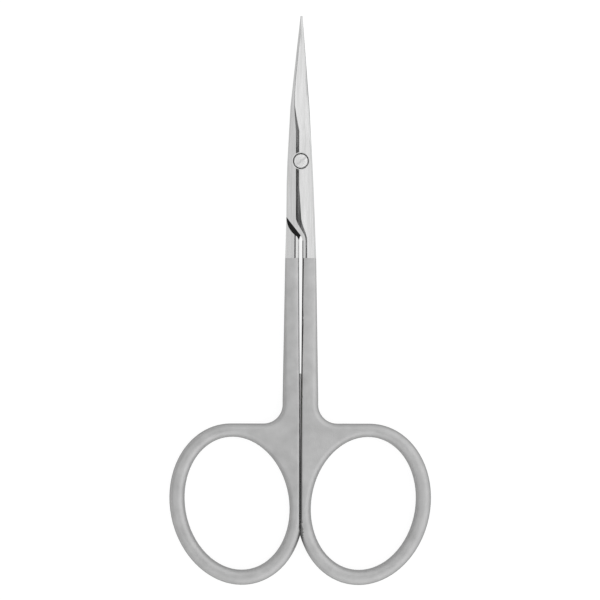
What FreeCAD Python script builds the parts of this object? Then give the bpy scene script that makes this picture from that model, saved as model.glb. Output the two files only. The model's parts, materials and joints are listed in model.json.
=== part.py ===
import FreeCAD, Part
import math
import os
import Sketcher
from FreeCAD import Placement, Rotation, Vector

# Cuticle scissors: two forged halves that cross at one slotted pivot screw.
# Each half is drawn in its own frame: the pivot at the origin, the tip along +Y, the lap face at Z = 0
# and the outer face towards +Z. The spine of the blade is on the -X side, the finger ring on the +X side.

doc = FreeCAD.newDocument("cuticle_scissors")

# Driving sizes, in millimetres and degrees
SIZES = {
    # reaches along the tool, from the pivot
    "blade_length": 29.0,
    "grind_start": 11.0,
    "ridge_end": 6.0,
    "ridge_run_out": 11.0,
    "facet_run_out": 16.0,
    "bevel_start": 3.0,
    "waist_start": 5.0,
    "crossing_start": 11.2,
    "crossing_knee": 14.5,
    "crossing_end": 15.9,
    "shoulder_start": 11.4,
    "shoulder_knee": 15.1,
    "finish_border": 19.4,
    "shank_end": 48.0,
    "web_overlap": 0.4,
    "handle_reach": 84.8,
    # half widths of blade and joint, about the blade's own middle line
    "tip_half_width": 0.2,
    "grind_half_width": 1.87,
    "joint_half_width": 2.49,
    "waist_half_width": 2.68,
    "crossing_half_width": 2.83,
    "pivot_offset": 0.22,
    "spine_guard": 0.08,
    "tip_guard": 0.04,
    "spine_bevel_width": 0.3,
    "edge_bevel_width": 0.35,
    "spine_bevel_angle": 16.0,
    "edge_bevel_angle": 38.0,
    # the flat land along the ridge of the outer face, and the crossing below it
    "ridge_place": 0.33,
    "ridge_land_width": 0.66,
    "crossing_land_width": 1.08,
    "neck_ridge_place": 1.28,
    "neck_land_width": 0.3,
    "neck_edge_radius": 0.25,
    "knee_across": 0.3,
    "shoulder_across": 0.75,
    "shoulder_radius": 4.5,
    "knee_radius": 2.2,
    # thickness of one half, and the bow of the blades out of the flat
    "joint_half_thickness": 1.685,
    "neck_half_thickness": 1.47,
    "grind_thickness": 1.5,
    "tip_thickness": 0.32,
    "cutting_land": 0.06,
    "lap_gap": 0.06,
    "bow_start": 8.0,
    "bow_rise": 1.3,
    # shank
    "shank_half_width": 3.1,
    "web_half_width": 3.56,
    "shank_end_half_width": 3.57,
    "shank_gap": 0.66,
    "stop_gap": 0.01,
    "stop_start": 42.5,
    "stop_half_height": 0.5,
    "stop_depth": 1.0,
    "stop_groove": 0.25,
    "shank_crown": 0.2,
    "web_crown": 0.02,
    "shank_edge_radius": 0.42,
    "shank_ridge_radius": 2.5,
    "border_step": 0.012,
    # finger ring
    "ring_half_thickness": 1.7,
    "ring_band": 2.85,
    "rim_lean": 12.0,
    "opening_length": 26.8,
    "opening_width": 20.83,
    "opening_lean": 10.0,
    "opening_inset": 0.13,
    "opening_rise": 0.17,
    "ring_place": 12.77,
    "web_fillet_radius": 3.8,
    "ring_edge_radius": 1.25,
    # pivot screw
    "head_diameter": 2.74,
    "head_height": 0.75,
    "head_chamfer": 0.06,
    "head_dome": 0.1,
    "head_recess": 0.18,
    "head_clearance": 0.25,
    "seat_rim": 0.14,
    "seat_rim_depth": 0.03,
    "journal_diameter": 1.9,
    "running_clearance": 0.03,
    "seat_clearance": 0.02,
    "thread_diameter": 1.6,
    "thread_clearance": 0.02,
    "slot_width": 0.46,
    "slot_depth": 0.3,
    "slot_angle": 38.0,
    "end_recess": 0.2,
    "end_chamfer": 0.15,
    # how far cutting shapes run past what they cut, lengthwise and beside a section of the blade
    "overrun": 4.0,
    "section_room": 0.5,
}

sheet = doc.addObject("Spreadsheet::Sheet", "sizes")
for row, (alias, number) in enumerate(SIZES.items(), start=1):
    sheet.set(f"A{row}", alias)
    sheet.set(f"B{row}", str(number))
    sheet.setAlias(f"B{row}", alias)
doc.recompute()


def worth(expression):
    """The number that an expression in the sheet's names gives now."""
    value = sheet.evalExpression(expression)
    return float(getattr(value, "Value", value))


def bind(thing, prop, expression):
    thing.setExpression(prop, expression)


# Outlines: sketches whose corners are bound to the sheet

def bind_length(drawing, kind, *places, to):
    """A dimension of a sketch that follows an expression."""
    index = drawing.addConstraint(Sketcher.Constraint(kind, *places, worth(to)))
    bind(drawing, f"Constraints[{index}]", to)


def bind_corner(drawing, edge, end, corner):
    """Ties an edge's end to a corner given as two expressions."""
    bind_length(drawing, "DistanceX", -1, 1, edge, end, to=corner[0])
    bind_length(drawing, "DistanceY", -1, 1, edge, end, to=corner[1])


def draw_outline(drawing, corners, arcs=None):
    """Draws closed sides through corners in order. arcs gives {corner number: (radius, side)} for a side that
    is an arc from that corner to the next, with its centre left (1) or right (-1) of the way."""
    arcs = arcs or {}
    spots = [Vector(worth(x), worth(y), 0) for x, y in corners]
    starts = []
    for number, spot in enumerate(spots):
        following = spots[(number + 1) % len(spots)]
        if number in arcs:
            radius, side = arcs[number]
            chord = following - spot
            middle = (spot + following) * 0.5
            across = Vector(-chord.y, chord.x, 0).normalize() * side
            sag = worth(radius) - math.sqrt(worth(radius) ** 2 - chord.Length ** 2 / 4)
            edge = drawing.addGeometry(Part.Arc(spot, middle - across * sag, following), False)
            bind_length(drawing, "Radius", edge, to=radius)
        else:
            edge = drawing.addGeometry(Part.LineSegment(spot, following), False)
        first, last = drawing.getPoint(edge, 1), drawing.getPoint(edge, 2)
        starts.append((edge, 1 if first.distanceToPoint(spot) < last.distanceToPoint(spot) else 2))
    for number, corner in enumerate(corners):
        edge, end = starts[number]
        before, before_start = starts[number - 1]
        before_end = 2 if before_start == 1 else 1
        drawing.addConstraint(Sketcher.Constraint("Coincident", before, before_end, edge, end))
        bind_corner(drawing, edge, end, corner)


def outline(name, corners, arcs=None):
    drawing = doc.addObject("Sketcher::SketchObject", name)
    draw_outline(drawing, corners, arcs)
    return drawing


UPWARDS, TOWARDS_RINGS = Vector(0, 0, 1), Vector(0, -1, 0)


def extruded(name, drawing, low, high, way=UPWARDS):
    """A solid over a sketch, from one distance to another along a way."""
    block = doc.addObject("Part::Extrusion", name)
    block.Base = drawing
    block.DirMode = "Custom"
    block.Dir = way
    block.Solid = True
    bind(block, "LengthFwd", high)
    bind(block, "LengthRev", f"-({low})")
    return block


def standing_outline(name, corners, arcs=None):
    """An outline that stands across the tool: its second direction is up."""
    drawing = outline(name, corners, arcs)
    drawing.Placement = Placement(Vector(), Rotation(Vector(1, 0, 0), 90))
    return drawing


def turned(name, corners, arcs=None, angle=360):
    """A solid turned about the pivot from a profile of (radius, height) corners."""
    solid = doc.addObject("Part::Revolution", name)
    solid.Source = standing_outline(name + "_profile", corners, arcs)
    solid.Axis = UPWARDS
    solid.Base = Vector()
    solid.Angle = angle
    solid.Solid = True
    return solid


def rounder(name, place, radius, height, way, near, far):
    """What is cut off above (way 1) or below (way -1) the height of the stop to leave a wall along the tool
    with a rounded edge. The metal is on the wall's +X side."""
    beyond, inside = f"{place} - sizes.overrun", f"{place} + {radius}"
    start, top, above = (f"{way} * ({height} {more})" for more in (f"- {radius}", "", "+ sizes.overrun"))
    foot = f"{way} * sizes.stop_half_height"
    profile = standing_outline(
        name + "_profile",
        [(beyond, foot), (place, foot), (place, start), (inside, top), (inside, above), (beyond, above)],
        {2: (radius, -way)},
    )
    return extruded(name, profile, near, far, TOWARDS_RINGS)


def joined(kind, name, base, tool):
    """A boolean of two objects."""
    result = doc.addObject(kind, name)
    result.Base = base
    result.Tool = tool
    return result


# The blade and joint, the polished end of a half

# how far the middle line of the blade stands off the pivot line, as shares of pivot_offset
LEAN_SHARES = {"tip": -0.3, "grind": 1.0, "joint": 0.9, "waist": 0.7, "crossing": 0.2}

REACHES = {
    "tip": "sizes.blade_length",
    "grind": "sizes.grind_start",
    "joint": "0",
    "waist": "-sizes.waist_start",
    "crossing": "-sizes.crossing_start",
}

# how much narrower the cutting edge's side is, so that the other blade's spine guards it
GUARDS = {"tip": "sizes.tip_guard", "grind": "sizes.spine_guard"}


def spine_corners(lean):
    """The blade's spine from tip to crossing, from the outer face. lean is the way it stands off, -1 or 1."""
    return [
        (f"-sizes.{place}_half_width + {lean * share} * sizes.pivot_offset", REACHES[place])
        for place, share in LEAN_SHARES.items()
    ]


def neck_corners():
    """The end of the crossing, a round knee, and the neck down to the border of the finish."""
    return [
        ("-sizes.knee_across", "-sizes.crossing_knee"),
        ("sizes.shank_gap / 2", "-sizes.crossing_end"),
        ("sizes.shank_gap / 2", "-sizes.finish_border"),
        ("sizes.shank_half_width", "-sizes.finish_border"),
    ]


def edge_corners(lean):
    """The side with the cutting edge, from tip to crossing."""
    return [
        (
            f"sizes.{place}_half_width - {GUARDS.get(place, '0')} + {lean * share} * sizes.pivot_offset",
            REACHES[place],
        )
        for place, share in LEAN_SHARES.items()
    ]


# how steeply the facets beside the ridge fall off
FACET_DROP = "(sizes.joint_half_thickness - sizes.neck_half_thickness)"
FACET_SLOPE = f"({FACET_DROP} / (sizes.neck_ridge_place + sizes.ridge_place))"

# sections of the outer face: how many along each stretch, and what they may take of a narrow blade's width
KNEE_STEPS, RUN_OUT_STEPS, BLADE_STEPS = 10, 5, 4
SPINE_BEVEL_SHARE, EDGE_BEVEL_SHARE = 0.3, 0.25
EDGE_HEIGHT_SHARE = 0.3
FACET_SHARE, LAND_SHARE = 0.03, 0.03


def between(low, high, share):
    return low + (high - low) * share


def eased(share):
    """0 to 1 with level ends."""
    share = min(max(share, 0.0), 1.0)
    return share * share * (3 - 2 * share)


def share_of_way(reach, start, end):
    """How far a reach has come on the way from one reach to another, 0 to 1."""
    return min(max((reach - start) / (end - start), 0.0), 1.0)


def along(table, place):
    """Reads a value off a table of (place, value) pairs in falling order of place."""
    for (high, upper), (low, lower) in zip(table, table[1:]):
        if place >= low:
            return between(lower, upper, min((place - low) / (high - low), 1.0))
    return table[-1][1]


def bow(reach):
    """How far the blade has bowed out of the flat at a reach from the pivot: an arc that starts level."""
    run = worth("sizes.blade_length - sizes.bow_start")
    radius = (run ** 2 + worth("sizes.bow_rise") ** 2) / 2 / worth("sizes.bow_rise")
    beyond = max(reach - worth("sizes.bow_start"), 0.0)
    return radius - math.sqrt(radius ** 2 - beyond ** 2)


def section_reaches():
    """Where along Y the outer face has a section: close together where the ridge turns or runs out."""
    tip, facet_end = worth("sizes.blade_length"), worth("sizes.facet_run_out")
    ridge_end, run_out = worth("sizes.ridge_end"), worth("sizes.ridge_run_out")
    bevel_top, waist = worth("sizes.bevel_start"), -worth("sizes.waist_start")
    knee_top, knee_low = -worth("sizes.crossing_start"), -worth("sizes.crossing_end")
    end = -worth("sizes.finish_border")
    reaches = [end - worth("sizes.overrun"), end, (end + knee_low) / 2]
    reaches += [between(knee_low, knee_top, step / KNEE_STEPS) for step in range(KNEE_STEPS + 1)]
    reaches += [(knee_top + waist) / 2, waist, 0.0, bevel_top, (bevel_top + ridge_end) / 2]
    reaches += [between(ridge_end, run_out, step / RUN_OUT_STEPS) for step in range(RUN_OUT_STEPS + 1)]
    reaches += [(run_out + facet_end) / 2]
    reaches += [between(facet_end, tip, step / BLADE_STEPS) for step in range(BLADE_STEPS + 1)]
    return reaches + [tip + worth("sizes.tip_thickness")]


def ridge_land(reach):
    """Right side and width of the ridge's flat land, before it runs out along the blade. At the knee it
    crosses over from the neck, and from there to the waist it narrows."""
    knee_top, knee_low = -worth("sizes.crossing_start"), -worth("sizes.crossing_end")
    ridge, neck_ridge = -worth("sizes.ridge_place"), worth("sizes.neck_ridge_place")
    width, crossing_width, neck_width = (
        worth(f"sizes.{place}_land_width") for place in ("ridge", "crossing", "neck")
    )
    crossing_ridge = ridge + crossing_width - width
    if reach > knee_top:
        rise = share_of_way(reach, knee_top, -worth("sizes.waist_start"))
        return between(crossing_ridge, ridge, rise), between(crossing_width, width, rise)
    turn = eased(share_of_way(reach, knee_low, knee_top))
    return between(neck_ridge, crossing_ridge, turn), between(neck_width, crossing_width, turn)


def roof_section(reach, spine, edge):
    """The corners (x, z) of the outer face at a reach, from the spine to the edge: a spine bevel, a facet,
    the flat land of the ridge, the main facet and the edge's bevel."""
    tip, grind = worth("sizes.blade_length"), worth("sizes.grind_start")
    bevel_top, ridge_end = worth("sizes.bevel_start"), worth("sizes.ridge_end")
    slope = worth(FACET_SLOPE)
    width = edge - spine
    spine_bevel = spine + min(worth("sizes.spine_bevel_width"), SPINE_BEVEL_SHARE * width)
    edge_bevel = edge - min(worth("sizes.edge_bevel_width"), EDGE_BEVEL_SHARE * width)
    land_right, land_width = ridge_land(reach)
    land_left = land_right - land_width
    height = worth("sizes.joint_half_thickness") - slope * (land_right + worth("sizes.ridge_place"))
    sharpness = share_of_way(reach, bevel_top, grind)
    if reach > bevel_top:
        height = between(worth("sizes.joint_half_thickness"), worth("sizes.grind_thickness"), sharpness)
        height = between(height, worth("sizes.tip_thickness"), share_of_way(reach, grind, tip))
        fading = share_of_way(reach, ridge_end, worth("sizes.facet_run_out"))
        closing = share_of_way(reach, ridge_end, worth("sizes.ridge_run_out"))
        land_left = between(land_left, spine_bevel + FACET_SHARE * width, fading)
        land_right = land_left + between(land_width, LAND_SHARE * width, closing)
    spine_height = height - slope * max(land_left - spine_bevel, 0.0)
    bevel_height = height - slope * (edge_bevel - land_right)
    bevel_height = between(bevel_height, EDGE_HEIGHT_SHARE * height, eased(sharpness))
    spine_slope, blunt_slope = (
        math.tan(math.radians(worth(f"sizes.{part}_bevel_angle"))) for part in ("spine", "edge")
    )
    blunt_height = bevel_height - blunt_slope * (edge - edge_bevel)
    edge_height = between(blunt_height, worth("sizes.cutting_land"), eased(sharpness))
    edge_slope = (bevel_height - edge_height) / (edge - edge_bevel)
    room = worth("sizes.section_room")
    return [
        (spine - room, spine_height - spine_slope * (spine_bevel - spine + room)),
        (spine_bevel, spine_height),
        (land_left, height),
        (land_right, height),
        (edge_bevel, bevel_height),
        (edge + room, edge_height - edge_slope * room),
    ]


def roof(name, lean, bow_way):
    """The outer face of blade and joint as a loft of sections along Y, lifted by the bow of the blade."""
    spine_line = [(worth(y), worth(x)) for x, y in spine_corners(lean)]
    edge_line = [(worth(y), worth(x)) for x, y in edge_corners(lean) + neck_corners()[-1:]]
    floor = -worth("sizes.overrun")
    sections = []
    for reach in section_reaches():
        lift = bow_way * bow(reach)
        top = roof_section(reach, along(spine_line, reach), along(edge_line, reach))
        section = [(top[0][0], floor)] + [(x, z + lift) for x, z in top] + [(top[-1][0], floor)]
        sections.append(Part.makePolygon([Vector(x, reach, z) for x, z in section + section[:1]]))
    solid = doc.addObject("Part::Feature", name)
    solid.Shape = Part.makeLoft(sections, True, True)
    return solid


def bowl(name, bow_way):
    """What is cut away under the blade and joint: flat near the pivot, then bowed along the blade. It is
    turned about the pivot, so that the two blades stay clear of each other at every angle."""
    run = "(sizes.blade_length + sizes.overrun - sizes.bow_start)"
    radius = "((sizes.blade_length - sizes.bow_start) ^ 2 + sizes.bow_rise ^ 2) / 2 / sizes.bow_rise"
    rise = f"({radius} - sqrt(({radius}) ^ 2 - {run} ^ 2))"
    face = "sizes.lap_gap / 2"
    return turned(
        name,
        [
            ("0", "-2 * sizes.overrun"),
            ("sizes.blade_length + sizes.overrun", "-2 * sizes.overrun"),
            ("sizes.blade_length + sizes.overrun", f"{face} + {bow_way} * {rise}"),
            ("sizes.bow_start", face),
            ("0", face),
        ],
        {2: (radius, -bow_way)},
        angle=180,
    )


def slab(name, low, high, bottom, top):
    """A block over a rectangle from one corner to the other."""
    corners = [low, (high[0], low[1]), high, (low[0], high[1])]
    return extruded(name, outline(name + "_plan", corners), bottom, top)


def lap(side, lean, bow_way):
    """Blade and joint of one half, down to the border of the finish."""
    spine, edge = spine_corners(lean), edge_corners(lean)
    corners = spine + neck_corners() + edge[::-1]
    plan = outline(f"{side}_lap_plan", corners, {len(spine): ("sizes.knee_radius", -1)})
    block = extruded(f"{side}_lap_block", plan, "-sizes.overrun", "sizes.overrun")
    faced = joined("Part::Common", f"{side}_lap_faced", block, roof(f"{side}_roof", lean, bow_way))
    bowed = joined("Part::Cut", f"{side}_lap_bowed", faced, bowl(f"{side}_bowl", bow_way))
    below = slab(
        f"{side}_lap_clearance",
        ("-2 * sizes.crossing_half_width", "-sizes.finish_border - sizes.overrun"),
        ("2 * sizes.crossing_half_width", "0"),
        "-2 * sizes.overrun",
        "sizes.lap_gap / 2",
    )
    return joined("Part::Cut", f"{side}_lap", bowed, below)


def shoulder(side, lean):
    """The neck on the other half's level: it ends at a shoulder beside the other half's crossing."""
    waist = f"sizes.crossing_half_width + {lean * LEAN_SHARES['crossing']} * sizes.pivot_offset"
    share = "(sizes.shoulder_start - sizes.crossing_start) / (sizes.finish_border - sizes.crossing_start)"
    plan = outline(
        f"{side}_shoulder_plan",
        [
            ("sizes.shank_gap / 2", "-sizes.finish_border"),
            ("sizes.shank_half_width", "-sizes.finish_border"),
            (f"{waist} + {share} * (sizes.shank_half_width - ({waist}))", "-sizes.shoulder_start"),
            ("sizes.shoulder_across", "-sizes.shoulder_knee"),
            ("sizes.shank_gap / 2", "-sizes.crossing_end"),
        ],
        {2: ("sizes.shoulder_radius", -1)},
    )
    block = extruded(f"{side}_shoulder_block", plan, "-sizes.overrun", "sizes.lap_gap / 2")
    left, right = "sizes.neck_ridge_place - sizes.neck_land_width", "sizes.neck_ridge_place"
    bottom, beyond = "-sizes.neck_half_thickness", "2 * sizes.overrun"
    tent = standing_outline(
        f"{side}_shoulder_tent",
        [
            ("-sizes.overrun", "sizes.overrun"),
            ("-sizes.overrun", f"{bottom} + {FACET_SLOPE} * ({left} + sizes.overrun)"),
            (left, bottom),
            (right, bottom),
            (beyond, f"{bottom} + {FACET_SLOPE} * ({beyond} - {right})"),
            (beyond, "sizes.overrun"),
        ],
    )
    end = "sizes.finish_border + sizes.overrun"
    prism = extruded(f"{side}_shoulder_prism", tent, "0", end, TOWARDS_RINGS)
    return joined("Part::Common", f"{side}_shoulder", block, prism)


# the stretch of the shank's width that the ridges of its two crowned faces lie in
RIDGE_SHARES = (0.25, 0.75)


def shank(side):
    """The shank from the border of the finish to the ring, crowned on both faces. Its edges are rounded, and
    on the outer side the rounding grows until it is the ring's own."""
    def section(name, reach, inner, outer, ridge, height, crown):
        drawing = standing_outline(
            name,
            [
                (inner, f"-({height} - {crown})"),
                (ridge, f"-({height})"),
                (outer, f"-({height} - {crown})"),
                (outer, f"{height} - {crown}"),
                (ridge, height),
                (inner, f"{height} - {crown}"),
            ],
        )
        bind(drawing, "Placement.Base.y", f"-({reach})")
        return drawing

    top = section(
        f"{side}_shank_top",
        "sizes.finish_border",
        "sizes.shank_gap / 2 + sizes.border_step",
        "sizes.shank_half_width - sizes.border_step",
        "sizes.neck_ridge_place - sizes.neck_land_width / 2",
        "sizes.neck_half_thickness - sizes.border_step",
        "sizes.shank_crown + sizes.border_step",
    )
    low = section(
        f"{side}_shank_low",
        "sizes.shank_end",
        "sizes.stop_groove / 2",
        "sizes.shank_end_half_width",
        "sizes.shank_end_half_width / 2",
        "sizes.ring_half_thickness - sizes.border_step",
        "sizes.web_crown",
    )
    bar = doc.addObject("Part::Loft", f"{side}_shank_bar")
    bar.Sections = [top, low]
    bar.Solid = True
    bar.Ruled = True
    doc.recompute()
    rounded = doc.addObject("Part::Fillet", f"{side}_shank")
    rounded.Base = bar
    run = worth("sizes.shank_end - sizes.finish_border")
    edges = []
    for number, edge in enumerate(bar.Shape.Edges, start=1):
        if edge.Length < run:
            continue
        middle = edge.valueAt((edge.FirstParameter + edge.LastParameter) / 2)
        side_share = middle.x / worth("sizes.web_half_width")
        near = far = worth("sizes.shank_edge_radius")
        if RIDGE_SHARES[0] < side_share < RIDGE_SHARES[1]:
            near = far = worth("sizes.shank_ridge_radius")
        elif side_share > RIDGE_SHARES[1]:
            far = worth("sizes.ring_edge_radius")
        starts_near = edge.Vertexes[0].Point.y > edge.Vertexes[1].Point.y
        edges.append((number, near, far) if starts_near else (number, far, near))
    rounded.Edges = edges
    return rounded


def plane_of(body, role):
    return next(feature for feature in body.Origin.OriginFeatures if feature.Role == role)


RIM_LEAN = "(sizes.rim_lean * 1 deg)"
RIM_ALONG, RIM_ACROSS = (f"(sizes.opening_{way} / 2 + sizes.ring_band)" for way in ("length", "width"))
RIM_HALF_HEIGHT = f"sqrt(({RIM_ALONG} * cos{RIM_LEAN}) ^ 2 + ({RIM_ACROSS} * sin{RIM_LEAN}) ^ 2)"
RIM_HALF_BREADTH = f"sqrt(({RIM_ALONG} * sin{RIM_LEAN}) ^ 2 + ({RIM_ACROSS} * cos{RIM_LEAN}) ^ 2)"
RIM_CENTRE = ("sizes.ring_place", f"{RIM_HALF_HEIGHT} - sizes.handle_reach")


class Oval:
    """An ellipse that stands on end with its top leaning outwards, given by expressions."""

    def __init__(self, centre, half_long, half_wide, lean):
        self.centre, self.half_wide = centre, half_wide
        self.tip = (f"{centre[0]} + {half_long} * sin{lean}", f"{centre[1]} + {half_long} * cos{lean}")
        self.flank = (f"{centre[0]} - {half_wide} * cos{lean}", f"{centre[1]} + {half_wide} * sin{lean}")

    def curve(self):
        tip, flank, centre = (
            Vector(worth(x), worth(y), 0) for x, y in (self.tip, self.flank, self.centre)
        )
        return Part.Ellipse(tip, flank, centre)

    def tie(self, drawing, edge):
        """Binds a sketch's ellipse to this one by its centre, its leaning long axis and its width."""
        long_axis = len(drawing.Geometry)
        drawing.exposeInternalGeometry(edge)
        bind_corner(drawing, edge, 3, self.centre)
        bind_corner(drawing, long_axis, 1, self.tip)
        bind_length(drawing, "Distance", long_axis + 1, to=f"2 * {self.half_wide}")


RIM = Oval(RIM_CENTRE, RIM_ALONG, RIM_ACROSS, RIM_LEAN)
OPENING = Oval(
    (f"{RIM_CENTRE[0]} - sizes.opening_inset", f"{RIM_CENTRE[1]} + sizes.opening_rise"),
    "(sizes.opening_length / 2)",
    "(sizes.opening_width / 2)",
    "(sizes.opening_lean * 1 deg)",
)


def handle_plan(body, name):
    """The ring with its opening, and the web that fills the corner between ring and shank."""
    drawing = body.newObject("Sketcher::SketchObject", name)
    drawing.AttachmentSupport = [(plane_of(body, "XY_Plane"), "")]
    drawing.MapMode = "FlatFace"
    rim = RIM.curve()
    lean = math.radians(worth("sizes.rim_lean"))
    skew = (worth(RIM_ALONG) ** 2 - worth(RIM_ACROSS) ** 2) * math.sin(lean) * math.cos(lean)
    half_height, half_breadth = worth(RIM_HALF_HEIGHT), worth(RIM_HALF_BREADTH)
    crest = rim.Center + Vector(skew / half_height, half_height, 0)
    flank = rim.Center - Vector(half_breadth, skew / half_breadth, 0)
    bend = worth("sizes.web_fillet_radius")
    outer, top = worth("sizes.web_half_width"), -worth("sizes.shank_end - sizes.web_overlap")
    bend_centre = Vector(outer + bend, crest.y + bend, 0)
    bend_middle = bend_centre - Vector(1, 1, 0).normalize() * bend
    bend_start, bend_end = bend_centre - Vector(bend, 0, 0), bend_centre - Vector(0, bend, 0)
    start, stop = rim.parameter(flank), rim.parameter(crest)
    stop += 0 if stop > start else 2 * math.pi
    top_line = drawing.addGeometry(Part.LineSegment(Vector(flank.x, top, 0), Vector(outer, top, 0)), False)
    outer_line = drawing.addGeometry(Part.LineSegment(Vector(outer, top, 0), bend_start), False)
    bend_arc = drawing.addGeometry(Part.Arc(bend_start, bend_middle, bend_end), False)
    crest_line = drawing.addGeometry(Part.LineSegment(bend_end, crest), False)
    rim_arc = drawing.addGeometry(Part.ArcOfEllipse(rim, start, stop), False)
    flank_line = drawing.addGeometry(Part.LineSegment(flank, Vector(flank.x, top, 0)), False)
    opening = drawing.addGeometry(OPENING.curve(), False)
    for kind, *places in (
        ("Coincident", top_line, 2, outer_line, 1),
        ("Coincident", flank_line, 2, top_line, 1),
        ("Tangent", outer_line, 2, bend_arc, 1),
        ("Tangent", bend_arc, 2, crest_line, 1),
        ("Tangent", crest_line, 2, rim_arc, 2),
        ("Tangent", flank_line, 1, rim_arc, 1),
        ("Horizontal", top_line),
        ("Vertical", outer_line),
        ("Horizontal", crest_line),
        ("Vertical", flank_line),
    ):
        drawing.addConstraint(Sketcher.Constraint(kind, *places))
    bind_length(drawing, "DistanceY", -1, 1, top_line, 1, to="-(sizes.shank_end - sizes.web_overlap)")
    bind_length(drawing, "DistanceX", -1, 1, outer_line, 1, to="sizes.web_half_width")
    bind_length(drawing, "Radius", bend_arc, to="sizes.web_fillet_radius")
    RIM.tie(drawing, rim_arc)
    OPENING.tie(drawing, opening)
    return drawing


def handle(side):
    """The finger ring and its web, rounded over all edges. Where the two rings meet it is ground flat, with a
    groove above and below."""
    body = doc.addObject("PartDesign::Body", f"{side}_handle_body")
    pad = body.newObject("PartDesign::Pad", f"{side}_handle_pad")
    pad.Profile = handle_plan(body, f"{side}_handle_plan")
    pad.SideType = "Symmetric"
    bind(pad, "Length", "2 * sizes.ring_half_thickness")
    doc.recompute()
    soft = []
    for number, edge in enumerate(pad.Shape.Edges, start=1):
        box = edge.BoundBox
        upright = box.ZLength > worth("sizes.ring_half_thickness")
        inside_shank = box.YMin > -worth("sizes.shank_end - sizes.web_overlap / 2")
        if not upright and not inside_shank:
            soft.append(f"Edge{number}")
    rounding = body.newObject("PartDesign::Fillet", f"{side}_ring_rounding")
    rounding.Base = (pad, soft)
    bind(rounding, "Radius", "sizes.ring_edge_radius")
    beyond = slab(
        f"{side}_contact_cut",
        ("-sizes.overrun", "-sizes.handle_reach"),
        ("sizes.stop_gap / 2", "0"),
        "-sizes.overrun",
        "sizes.overrun",
    )
    ground = joined("Part::Cut", f"{side}_handle_ground", body, beyond)
    rounders = doc.addObject("Part::MultiFuse", f"{side}_grooves")
    rounders.Shapes = [
        rounder(
            f"{side}_groove_{level}",
            "sizes.stop_groove / 2",
            "sizes.shank_edge_radius",
            "sizes.ring_half_thickness",
            way,
            "0",
            "sizes.handle_reach",
        )
        for level, way in (("upper", 1), ("lower", -1))
    ]
    return joined("Part::Cut", f"{side}_handle", ground, rounders)


HEAD_TOP = "(sizes.joint_half_thickness - sizes.head_recess)"
HEAD_SEAT = f"({HEAD_TOP} - sizes.head_height)"
SCREW_END = "(sizes.joint_half_thickness - sizes.end_recess)"


def front_hole():
    """The running hole of the front half, with the seat of the screw's head and a dished rim around it."""
    journal = "sizes.journal_diameter / 2 + sizes.running_clearance"
    seat = "sizes.head_diameter / 2 + sizes.head_clearance"
    rim = f"{seat} + sizes.seat_rim"
    floor = f"{HEAD_SEAT} - sizes.seat_clearance"
    return turned("front_hole", [
        ("0", "-sizes.overrun"),
        (journal, "-sizes.overrun"),
        (journal, floor),
        (seat, floor),
        (seat, f"{HEAD_TOP} - sizes.seat_rim_depth"),
        (rim, HEAD_TOP),
        (rim, "sizes.overrun"),
        ("0", "sizes.overrun"),
    ])


def rear_hole():
    """The threaded hole of the rear half, drawn as a plain bore."""
    bore = "sizes.thread_diameter / 2 + sizes.thread_clearance"
    return turned("rear_hole", [
        ("0", "-sizes.overrun"),
        (bore, "-sizes.overrun"),
        (bore, "sizes.overrun"),
        ("0", "sizes.overrun"),
    ])


def neck_rounders(side):
    """What is cut off to round the neck's inner edges, from the crossing to the border of the finish."""
    inside = "sizes.shank_gap / 2 + sizes.neck_edge_radius"
    land = "sizes.neck_ridge_place - sizes.neck_land_width"
    return [
        rounder(
            f"{side}_neck_{level}",
            "sizes.shank_gap / 2",
            "sizes.neck_edge_radius",
            f"(sizes.neck_half_thickness - {FACET_SLOPE} * ({land} - ({inside})))",
            way,
            "sizes.crossing_end",
            "sizes.finish_border",
        )
        for level, way in (("upper", 1), ("lower", -1))
    ]


def stop(side):
    """The rib on the shank's inner side that carries the flat where the halves meet up from the ring."""
    return slab(
        f"{side}_stop",
        ("sizes.stop_gap / 2", "-sizes.shank_end"),
        ("sizes.stop_depth", "-sizes.stop_start"),
        "-sizes.stop_half_height",
        "sizes.stop_half_height",
    )


def half(side, lean, bow_way, hole):
    """A forged half: blade and joint, shoulder, shank, stop and ring in one piece, with the screw's hole."""
    forging = doc.addObject("Part::MultiFuse", f"{side}_forging")
    forging.Shapes = [lap(side, lean, bow_way), shoulder(side, lean), shank(side), stop(side), handle(side)]
    cutters = doc.addObject("Part::MultiFuse", f"{side}_cutters")
    cutters.Shapes = [hole] + neck_rounders(side)
    drilled = joined("Part::Cut", f"{side}_half", forging, cutters)
    drilled.Label = f"{side}_half"
    return drilled


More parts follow.
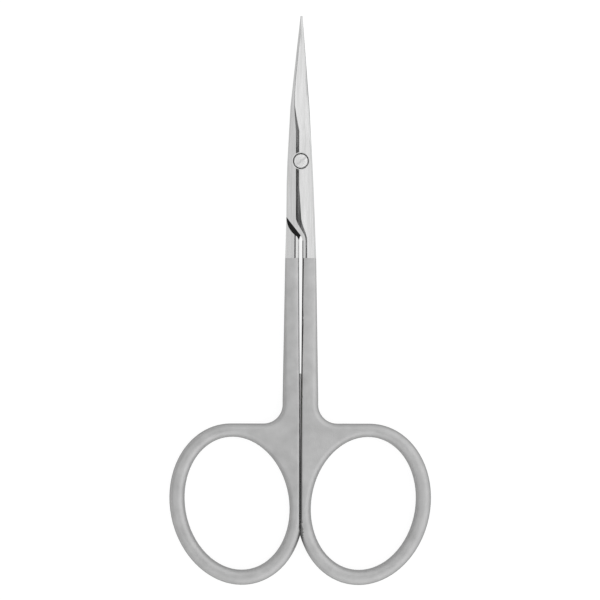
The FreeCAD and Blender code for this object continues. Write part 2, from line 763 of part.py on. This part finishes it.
def screw():
    """The pivot screw: low domed head with a slot, plain journal and threaded end."""
    body = doc.addObject("PartDesign::Body", "pivot_screw")
    profile = body.newObject("Sketcher::SketchObject", "pivot_screw_profile")
    profile.AttachmentSupport = [(plane_of(body, "XZ_Plane"), "")]
    profile.MapMode = "FlatFace"
    head, journal, thread = (f"sizes.{part}_diameter / 2" for part in ("head", "journal", "thread"))
    face = f"{head} - sizes.head_chamfer"
    corners = [
        ("0", f"-{SCREW_END}"),
        (f"{thread} - sizes.end_chamfer", f"-{SCREW_END}"),
        (thread, f"-{SCREW_END} + sizes.end_chamfer"),
        (thread, "-sizes.lap_gap / 2"),
        (journal, "-sizes.lap_gap / 2"),
        (journal, HEAD_SEAT),
        (head, HEAD_SEAT),
        (head, f"{HEAD_TOP} - sizes.head_dome - sizes.head_chamfer"),
        (face, f"{HEAD_TOP} - sizes.head_dome"),
        ("0", HEAD_TOP),
    ]
    dome_radius = f"(({face}) ^ 2 + sizes.head_dome ^ 2) / 2 / sizes.head_dome"
    draw_outline(profile, corners, {len(corners) - 2: (dome_radius, 1)})
    shape = body.newObject("PartDesign::Revolution", "pivot_screw_turning")
    shape.Profile = profile
    shape.ReferenceAxis = (profile, ["V_Axis"])
    shape.Angle = 360
    slot = body.newObject("Sketcher::SketchObject", "pivot_screw_slot_plan")
    slot.AttachmentSupport = [(plane_of(body, "XY_Plane"), "")]
    slot.MapMode = "FlatFace"
    bind(slot, "AttachmentOffset.Base.z", HEAD_TOP)
    bind(slot, "AttachmentOffset.Rotation.Angle", "sizes.slot_angle")
    draw_outline(slot, [
        ("-sizes.head_diameter", "-sizes.slot_width / 2"),
        ("sizes.head_diameter", "-sizes.slot_width / 2"),
        ("sizes.head_diameter", "sizes.slot_width / 2"),
        ("-sizes.head_diameter", "sizes.slot_width / 2"),
    ])
    pocket = body.newObject("PartDesign::Pocket", "pivot_screw_slot")
    pocket.Profile = slot
    bind(pocket, "Length", "sizes.slot_depth")
    return body


front = half("front", -1, 1, front_hole())
rear = half("rear", 1, -1, rear_hole())
pivot = screw()

# The tool lies on its rings, which are towards -Y, with the origin below the middle of its outline
MIDDLE = "(sizes.handle_reach - sizes.blade_length) / 2"
rear.Placement = Placement(Vector(), Rotation(Vector(0, 1, 0), 180))
for piece in (front, rear, pivot):
    bind(piece, "Placement.Base.y", MIDDLE)
    bind(piece, "Placement.Base.z", "sizes.ring_half_thickness")
doc.recompute()

for thing in doc.Objects:
    if "Invalid" in thing.State or "Error" in thing.State:
        raise RuntimeError(f"{thing.Name} failed: {thing.State}")
for piece in (front, rear, pivot):
    if piece.Shape.isNull() or not piece.Shape.isValid():
        raise RuntimeError(f"{piece.Label} has no valid shape")
    if len(piece.Shape.Solids) != 1:
        raise RuntimeError(f"{piece.Label} is {len(piece.Shape.Solids)} solids, not one")

os.makedirs("parts", exist_ok=True)
for piece in (front, rear, pivot):
    piece.Shape.exportStep(f"parts/{piece.Label}.step")
    print(piece.Label, f"{piece.Shape.Volume:.1f} mm3")
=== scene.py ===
import json
import math

import bmesh
import bpy
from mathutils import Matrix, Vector


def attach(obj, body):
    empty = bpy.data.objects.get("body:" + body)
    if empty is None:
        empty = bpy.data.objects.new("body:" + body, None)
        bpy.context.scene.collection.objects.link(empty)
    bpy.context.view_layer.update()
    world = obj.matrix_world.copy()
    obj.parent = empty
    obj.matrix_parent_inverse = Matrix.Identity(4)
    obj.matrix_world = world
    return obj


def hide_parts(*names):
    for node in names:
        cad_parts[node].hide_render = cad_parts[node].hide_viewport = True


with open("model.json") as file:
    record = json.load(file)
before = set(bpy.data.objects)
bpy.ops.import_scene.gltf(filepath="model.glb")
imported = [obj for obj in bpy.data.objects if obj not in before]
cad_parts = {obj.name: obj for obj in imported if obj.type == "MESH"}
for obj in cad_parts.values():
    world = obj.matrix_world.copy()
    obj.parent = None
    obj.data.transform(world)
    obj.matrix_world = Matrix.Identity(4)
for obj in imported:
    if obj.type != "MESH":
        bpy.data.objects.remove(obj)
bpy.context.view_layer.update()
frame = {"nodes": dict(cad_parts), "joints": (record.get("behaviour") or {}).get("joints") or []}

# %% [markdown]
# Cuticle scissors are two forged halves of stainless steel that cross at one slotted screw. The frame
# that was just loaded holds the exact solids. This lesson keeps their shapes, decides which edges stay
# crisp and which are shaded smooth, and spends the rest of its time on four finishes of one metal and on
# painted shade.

MM = 0.001
nodes = frame["nodes"]
pivot = Vector(frame["joints"][0]["pos_m"])

# %% [markdown]
# A colour on a screen is written as a hex number, which is not how light adds up. One function turns a
# hex colour into the linear values that Blender works with, so the rest of the script can speak in hex.
# Shader trees are easier to read as a list of nodes with their settings, so a second function adds a
# node, sets it up and links what feeds it. All finishes here are of one metal, so a third one starts a
# bare metal.

# %% Three small helpers for materials
def linear(hex_colour):
    """The linear red, green, blue and alpha of an sRGB hex colour."""
    channels = [int(hex_colour[start:start + 2], 16) / 255 for start in (0, 2, 4)]
    curve = [c / 12.92 if c <= 0.04045 else ((c + 0.055) / 1.055) ** 2.4 for c in channels]
    return (*curve, 1.0)


def add_node(tree, kind, feeds=(), **settings):
    """Adds a node, sets its properties, and feeds its inputs with values or with other nodes' outputs."""
    node = tree.nodes.new(kind)
    for name, value in settings.items():
        setattr(node, name, value)
    for name, source in dict(feeds).items():
        if isinstance(source, bpy.types.NodeSocket):
            tree.links.new(source, node.inputs[name])
        else:
            node.inputs[name].default_value = source
    return node


def new_steel(name):
    """A bare metal whose colour and roughness are still to come, with its node tree and its shader."""
    material = bpy.data.materials.new(name)
    material.use_nodes = True
    shader = material.node_tree.nodes["Principled BSDF"]
    shader.inputs["Metallic"].default_value = 1.0
    return material, material.node_tree, shader


print("white is", linear("FFFFFF"))

# %% [markdown]
# Blades and joint are polished on a felt wheel. The wheel runs along the blade, so it leaves faint lines
# lengthwise. Real lines are about 0.02 mm apart, too fine for this picture, so they are drawn 0.5 mm
# apart. A noise texture that is squeezed across the blade and stretched along it gives such lines. It
# drives the depth, the gloss and, a little, the grey of the metal.

# %% Polished stainless steel
POLISH_LINE_SPACING = 0.5 * MM
POLISH_LINE_LENGTH = 9.0 * MM
POLISH_LINE_DEPTH = 0.02 * MM

polished, tree, shader = new_steel("stainless steel, wheel polished")
place = add_node(tree, "ShaderNodeTexCoord").outputs["Object"]
stretched = add_node(
    tree,
    "ShaderNodeMapping",
    {"Vector": place, "Scale": (1 / POLISH_LINE_SPACING, 1 / POLISH_LINE_LENGTH, 1 / POLISH_LINE_SPACING)},
)
lines = add_node(
    tree,
    "ShaderNodeTexNoise",
    {"Vector": stretched.outputs["Vector"], "Scale": 1.0, "Detail": 3.0, "Roughness": 0.6},
)
line_depth = add_node(
    tree,
    "ShaderNodeBump",
    {"Height": lines.outputs["Fac"], "Strength": 0.3, "Distance": POLISH_LINE_DEPTH},
)
streaks = add_node(
    tree,
    "ShaderNodeMix",
    {"Factor": lines.outputs["Fac"], "A": linear("BABABA"), "B": linear("ECECEC")},
    data_type="RGBA",
)
gloss = add_node(
    tree,
    "ShaderNodeMapRange",
    {"Value": lines.outputs["Fac"], "From Min": 0.3, "From Max": 0.7, "To Min": 0.12, "To Max": 0.2},
)
tree.links.new(streaks.outputs["Result"], shader.inputs["Base Color"])
tree.links.new(gloss.outputs["Result"], shader.inputs["Roughness"])
tree.links.new(line_depth.outputs["Normal"], shader.inputs["Normal"])
print(polished.name, len(tree.nodes), "nodes")

# %% [markdown]
# Shanks and rings are bead-blasted, so that they don't glare and don't slip. Each bead leaves a dent of
# about 0.05 mm, which scatters the light: the metal turns to an even, soft grey. Such dents are too fine
# for this picture, so they are drawn 0.22 mm wide, and a slow cloudiness of a few millimetres stands for
# the uneven sweep of the nozzle. Steep sides get a darker grey, which is painted shade: the height of the
# normal tells them apart.

# %% Bead-blasted stainless steel
BEAD_DENT = 0.22 * MM
BEAD_DENT_DEPTH = 0.05 * MM
CLOUD_SIZE = 3.0 * MM
# the darker grey of steep sides is painted shade
PAINTED_SIDE_SHADE = "8C8C8C"

blasted, tree, shader = new_steel("stainless steel, bead blasted")
coordinates = add_node(tree, "ShaderNodeTexCoord")
place = coordinates.outputs["Object"]
dents = add_node(
    tree,
    "ShaderNodeTexNoise",
    {"Vector": place, "Scale": 1 / BEAD_DENT, "Detail": 2.0, "Roughness": 0.5},
)
clouds = add_node(
    tree,
    "ShaderNodeTexNoise",
    {"Vector": place, "Scale": 1 / CLOUD_SIZE, "Detail": 4.0, "Roughness": 0.6},
)
dent_depth = add_node(
    tree,
    "ShaderNodeBump",
    {"Height": dents.outputs["Fac"], "Strength": 0.6, "Distance": BEAD_DENT_DEPTH},
)
open_grey = add_node(
    tree,
    "ShaderNodeMix",
    {"Factor": clouds.outputs["Fac"], "A": linear("AFAFAF"), "B": linear("D1D1D1")},
    data_type="RGBA",
)
normal = add_node(tree, "ShaderNodeSeparateXYZ", {"Vector": coordinates.outputs["Normal"]})
level = add_node(tree, "ShaderNodeMath", {0: normal.outputs["Z"]}, operation="ABSOLUTE")
# level faces keep the open grey, steep sides fade to the painted shade grey
unshaded_share = add_node(
    tree,
    "ShaderNodeMapRange",
    {"Value": level.outputs["Value"], "From Min": 0.3, "From Max": 0.85, "To Min": 0.0, "To Max": 1.0},
    interpolation_type="SMOOTHSTEP",
)
grey = add_node(
    tree,
    "ShaderNodeMix",
    {"Factor": unshaded_share.outputs["Result"], "A": linear(PAINTED_SIDE_SHADE), "B": open_grey.outputs["Result"]},
    data_type="RGBA",
)
softness = add_node(
    tree,
    "ShaderNodeMapRange",
    {"Value": clouds.outputs["Fac"], "From Min": 0.3, "From Max": 0.7, "To Min": 0.42, "To Max": 0.48},
)
tree.links.new(grey.outputs["Result"], shader.inputs["Base Color"])
tree.links.new(softness.outputs["Result"], shader.inputs["Roughness"])
tree.links.new(dent_depth.outputs["Normal"], shader.inputs["Normal"])
print(blasted.name, len(tree.nodes), "nodes")

# %% [markdown]
# Two narrow places get painted shade, a dark grey with a faint grain. Where the halves meet, a groove a
# quarter of a millimetre wide runs above and below the stop. Its floor is painted a light grey beside the
# shanks and dark between the rings. The other place is the front half's upper edge along the gap, where
# the painted shade fades out towards the rings into the painted side shade. The eye sees both as one thin
# dark line. The place along the tool tells how dark the shade is painted.

# %% Painted shade in the groove and along the gap
SHADE_GRAIN = 0.4 * MM
GROOVE_DARK_AT = pivot.y - 64.0 * MM
GROOVE_UNSHADED_AT = pivot.y - 46.0 * MM
EDGE_DARK_AT = pivot.y - 46.0 * MM
EDGE_UNSHADED_AT = pivot.y - 58.0 * MM


def new_painted_shade(name, shade_greys, dark_at, unshaded_grey, unshaded_at):
    """Painted shade that is darkest at one place along Y and fades into a plain grey towards another."""
    material, tree, shader = new_steel(name)
    shader.inputs["Roughness"].default_value = 0.6
    place = add_node(tree, "ShaderNodeTexCoord").outputs["Object"]
    grain = add_node(tree, "ShaderNodeTexNoise", {"Vector": place, "Scale": 1 / SHADE_GRAIN, "Detail": 3.0})
    shade_grey = add_node(
        tree,
        "ShaderNodeMix",
        {"Factor": grain.outputs["Fac"], "A": linear(shade_greys[0]), "B": linear(shade_greys[1])},
        data_type="RGBA",
    )
    along = add_node(tree, "ShaderNodeSeparateXYZ", {"Vector": place})
    shade_fade = add_node(
        tree,
        "ShaderNodeMapRange",
        {"Value": along.outputs["Y"], "From Min": dark_at, "From Max": unshaded_at, "To Min": 0.0, "To Max": 1.0},
        interpolation_type="SMOOTHSTEP",
    )
    grey = add_node(
        tree,
        "ShaderNodeMix",
        {"Factor": shade_fade.outputs["Result"], "A": shade_grey.outputs["Result"], "B": linear(unshaded_grey)},
        data_type="RGBA",
    )
    tree.links.new(grey.outputs["Result"], shader.inputs["Base Color"])
    print(name, len(tree.nodes), "nodes")
    return material


# painted shade on the floor of the groove between the halves, darkest between the rings
groove_shade = new_painted_shade(
    "stainless steel, painted shade in the groove", ("1C1C1C", "2C2A28"), GROOVE_DARK_AT, "F0F0F0", GROOVE_UNSHADED_AT
)
# painted shade along the front half's upper edge by the gap, fading out towards the rings
gap_edge_shade = new_painted_shade(
    "stainless steel, painted shade along the gap", ("5A5A5A", "686664"), EDGE_DARK_AT, PAINTED_SIDE_SHADE, EDGE_UNSHADED_AT
)

# %% [markdown]
# The sides of joint and blades that slide along each other are lapped, which leaves no lines and a gloss
# like a mirror's. Closed, they show only in the crescent beside the crossing, where they mirror the dark
# above.

# %% Lapped stainless steel
lapped, tree, shader = new_steel("stainless steel, lapped")
shader.inputs["Base Color"].default_value = linear("C0C0C0")
shader.inputs["Roughness"].default_value = 0.06
print(lapped.name, len(tree.nodes), "nodes")

# %% [markdown]
# The screw is turned on a lathe, and a lathe's tool leaves fine rings around the axis. A wave texture
# with rings around Z, moved to the pivot, makes them. They are drawn 0.18 mm apart, about four times the
# real feed.

# %% Turned stainless steel
TURNING_FEED = 0.18 * MM
TURNING_DEPTH = 0.02 * MM
# a wave texture of scale 1 repeats after this many units
WAVE_PERIOD = 2 * math.pi / 20

turned, tree, shader = new_steel("stainless steel, lathe turned")
shader.inputs["Base Color"].default_value = linear("F0F0F0")
shader.inputs["Roughness"].default_value = 0.34
place = add_node(tree, "ShaderNodeTexCoord").outputs["Object"]
centred = add_node(tree, "ShaderNodeMapping", {"Vector": place, "Location": tuple(-pivot)})
rings = add_node(
    tree,
    "ShaderNodeTexWave",
    {"Vector": centred.outputs["Vector"], "Scale": WAVE_PERIOD / TURNING_FEED, "Distortion": 0.6},
    wave_type="RINGS",
    rings_direction="Z",
)
ring_depth = add_node(
    tree,
    "ShaderNodeBump",
    {"Height": rings.outputs["Fac"], "Strength": 0.15, "Distance": TURNING_DEPTH},
)
tree.links.new(ring_depth.outputs["Normal"], shader.inputs["Normal"])
print(turned.name, len(tree.nodes), "nodes")

# %% [markdown]
# Each half is one forging with several finishes, so it stays one piece with several material slots. The
# exact solid is copied, the seams between its faces are merged, and each face takes the finish of the
# place where it lies. No wheel gets between the necks, so the walls of the gap between them keep the
# blasted finish. Edges that turn by less than a set angle are shaded smooth, the others stay crisp.
# Grinding leaves crisp edges between nearly level facets, so the angle is small there. Blasting rounds
# everything over.

# %% The two halves
FINISH_BORDER = pivot.y - 19.4 * MM
GAP_TOP = pivot.y - 15.9 * MM
GAP_SIDE = 0.6 * MM
GAP_STEEPNESS = 0.3
EDGE_TILT = 0.12
GROOVE_TOP = pivot.y - 42.4 * MM
GROOVE_SIDE = 0.13 * MM
GROOVE_LEVEL = 0.7
LAPPED_LEVEL = 0.8
JOINT_REACH = 0.1 * MM
MERGE_DISTANCE = 0.0005 * MM
GROUND_ANGLE = math.radians(4)
BLASTED_ANGLE = math.radians(28)


def finish_of(face, inward):
    """The finish, or the painted shade, of a half's face by its place and direction. Inward is the way to the
    other half in Z.
    """
    middle = face.calc_center_median()
    aside = abs(middle.x)
    # the groove's floor and the front edge by the gap take painted shade, not a finish
    if aside < GROOVE_SIDE and middle.y < GROOVE_TOP and abs(face.normal.z) > GROOVE_LEVEL:
        return groove_shade
    if aside < GAP_SIDE and middle.y < GAP_TOP and abs(face.normal.x) > GAP_STEEPNESS:
        on_front_edge = face.normal.x < 0 < middle.x and face.normal.z > EDGE_TILT
        return gap_edge_shade if on_front_edge else blasted
    if middle.y < FINISH_BORDER:
        return blasted
    on_blade_or_joint = middle.y > pivot.y or abs(middle.z - pivot.z) < JOINT_REACH
    return lapped if on_blade_or_joint and face.normal.z * inward > LAPPED_LEVEL else polished


def add_finished_copy(node_name, piece_name, finishes, body):
    """Adds a merged copy of an exact solid that stands for it, with its finishes as material slots."""
    inward = -1 if body == "front" else 1
    mesh = bpy.data.meshes.new(piece_name)
    model = bmesh.new()
    model.from_mesh(nodes[node_name].data)
    bmesh.ops.remove_doubles(model, verts=model.verts, dist=MERGE_DISTANCE)
    for face in model.faces:
        face.smooth = True
        face.material_index = finishes.index(finish_of(face, inward)) if len(finishes) > 1 else 0
    for edge in model.edges:
        ground = any(finishes[face.material_index] in (polished, lapped) for face in edge.link_faces)
        edge.smooth = edge.calc_face_angle(0) < (GROUND_ANGLE if ground else BLASTED_ANGLE)
    for finish in finishes:
        mesh.materials.append(finish)
    model.to_mesh(mesh)
    model.free()
    piece = bpy.data.objects.new(piece_name, mesh)
    bpy.context.scene.collection.objects.link(piece)
    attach(piece, body)
    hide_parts(node_name)
    print(piece_name, len(mesh.polygons), "faces")


rear_finishes = [polished, blasted, groove_shade, lapped]
front_finishes = rear_finishes + [gap_edge_shade]
add_finished_copy("front_half", "front_blade_and_ring", front_finishes, "front")
add_finished_copy("rear_half", "rear_blade_and_ring", rear_finishes, "rear")

# %% [markdown]
# The screw has one finish all over, so the same function serves with a single material. It rides with the
# rear half, which it is threaded into, and stays there when the scissors open.

# %% The screw
add_finished_copy("pivot_screw", "slotted_screw", [turned], "rear")

# %% [markdown]
# The scissors lie on white paper. The floor is a plain wide sheet. Where the camera or a reflection looks
# at it, most of what they see is a plain glow and the rest is a grey that takes the light, so together
# they show white with a faint, soft shadow. The sheet lies a hair below the scissors, so that no two
# faces share a plane.

# %% The paper
FLOOR_SIDE = 3.0
FLOOR_DROP = 0.02 * MM
PAPER_GLOW = 0.88

paper = bpy.data.materials.new("white paper")
paper.use_nodes = True
tree = paper.node_tree
shader = tree.nodes["Principled BSDF"]
shader.inputs["Base Color"].default_value = linear("777777")
shader.inputs["Roughness"].default_value = 0.9
ray = add_node(tree, "ShaderNodeLightPath")
seen = add_node(
    tree,
    "ShaderNodeMath",
    {0: ray.outputs["Is Camera Ray"], 1: ray.outputs["Is Glossy Ray"]},
    operation="MAXIMUM",
)
shown = add_node(
    tree,
    "ShaderNodeMath",
    {0: seen.outputs["Value"], 1: ray.outputs["Is Transmission Ray"]},
    operation="MAXIMUM",
)
glow = add_node(tree, "ShaderNodeMath", {0: shown.outputs["Value"], 1: PAPER_GLOW}, operation="MULTIPLY")
shader.inputs["Emission Color"].default_value = (1, 1, 1, 1)
tree.links.new(glow.outputs["Value"], shader.inputs["Emission Strength"])

floor_mesh = bpy.data.meshes.new("floor")
sheet = bmesh.new()
bmesh.ops.create_grid(sheet, x_segments=1, y_segments=1, size=FLOOR_SIDE / 2)
bmesh.ops.translate(sheet, verts=sheet.verts, vec=(0, 0, -FLOOR_DROP))
sheet.to_mesh(floor_mesh)
sheet.free()
floor_mesh.materials.append(paper)
floor = bpy.data.objects.new("floor", floor_mesh)
bpy.context.scene.collection.objects.link(floor)
print("floor", FLOOR_SIDE, "m")

# %% [markdown]
# Metal shows what stands around it, so the studio matters more than any lamp. The scissors lie in a light
# tent that is brighter on the right, darker along its hem, and has a dark hole straight above for the
# lens. Level surfaces mirror that hole, which draws the dark stripe along the ridge of the blade and
# blackens the crescent. The tent is the world: the direction of a ray gives its brightness.

# %% The light tent
TENT_DIM, TENT_BRIGHT = 0.67, 1.1
BRIGHT_SIDE = (0.98, -0.2, 0.0)
HEM_LIGHT, HEM_HEIGHT = 0.7, 0.5
HOLE_EDGE, HOLE_SOFT_EDGE = math.cos(math.radians(6)), math.cos(math.radians(11))
HOLE_LIGHT = 0.03

world = bpy.data.worlds.new("light tent")
bpy.context.scene.world = world
world.use_nodes = True
tree = world.node_tree
tree.nodes.clear()
direction = add_node(tree, "ShaderNodeTexCoord").outputs["Generated"]
axes = add_node(tree, "ShaderNodeSeparateXYZ", {"Vector": direction})
towards = add_node(tree, "ShaderNodeVectorMath", {0: direction, 1: BRIGHT_SIDE}, operation="DOT_PRODUCT")
sideways = add_node(
    tree,
    "ShaderNodeMapRange",
    {
        "Value": towards.outputs["Value"],
        "From Min": -1.0,
        "From Max": 0.5,
        "To Min": TENT_DIM,
        "To Max": TENT_BRIGHT,
    },
    interpolation_type="SMOOTHSTEP",
)
hole = add_node(
    tree,
    "ShaderNodeMapRange",
    {
        "Value": axes.outputs["Z"],
        "From Min": HOLE_SOFT_EDGE,
        "From Max": HOLE_EDGE,
        "To Min": 1.0,
        "To Max": HOLE_LIGHT,
    },
    interpolation_type="SMOOTHSTEP",
)
hem = add_node(
    tree,
    "ShaderNodeMapRange",
    {"Value": axes.outputs["Z"], "From Min": 0.0, "From Max": HEM_HEIGHT, "To Min": HEM_LIGHT, "To Max": 1.0},
    interpolation_type="SMOOTHSTEP",
)
walls = add_node(
    tree,
    "ShaderNodeMath",
    {0: sideways.outputs["Result"], 1: hem.outputs["Result"]},
    operation="MULTIPLY",
)
tent = add_node(
    tree,
    "ShaderNodeMath",
    {0: walls.outputs["Value"], 1: hole.outputs["Result"]},
    operation="MULTIPLY",
)
ray = add_node(tree, "ShaderNodeLightPath")
strength = add_node(
    tree,
    "ShaderNodeMix",
    {"Factor": ray.outputs["Is Camera Ray"], "A": tent.outputs["Value"], "B": 1.0},
)
sky = add_node(
    tree,
    "ShaderNodeBackground",
    {"Color": (1, 1, 1, 1), "Strength": strength.outputs["Result"]},
)
add_node(tree, "ShaderNodeOutputWorld", {"Surface": sky.outputs["Background"]})
print("tent from", TENT_DIM, "to", TENT_BRIGHT)

# %% [markdown]
# The camera looks straight down through a long lens, as for a catalogue picture. The picture is square
# and shows 120 mm at a height of 2.5 mm above the paper. The scissors were laid down an eighth of a degree
# off the upright, so the camera turns by as much.

# %% The camera
PICTURE_SIDE = 120.0 * MM
CAMERA_HEIGHT = 0.8
SENSOR_WIDTH = 36.0
CAMERA_PLACE = Vector((-0.12 * MM, 0.11 * MM, CAMERA_HEIGHT))
CAMERA_TURN = math.radians(0.12)
PICTURE_LEVEL = 2.5 * MM

lens = bpy.data.cameras.new("catalogue camera")
lens.sensor_width = SENSOR_WIDTH
lens.lens = SENSOR_WIDTH * (CAMERA_HEIGHT - PICTURE_LEVEL) / PICTURE_SIDE
camera = bpy.data.objects.new("catalogue camera", lens)
camera.location = CAMERA_PLACE
camera.rotation_euler = (0, 0, CAMERA_TURN)
bpy.context.scene.collection.objects.link(camera)
bpy.context.scene.camera = camera
bpy.context.scene.view_settings.view_transform = "Standard"
print("lens", round(lens.lens, 1), "mm")
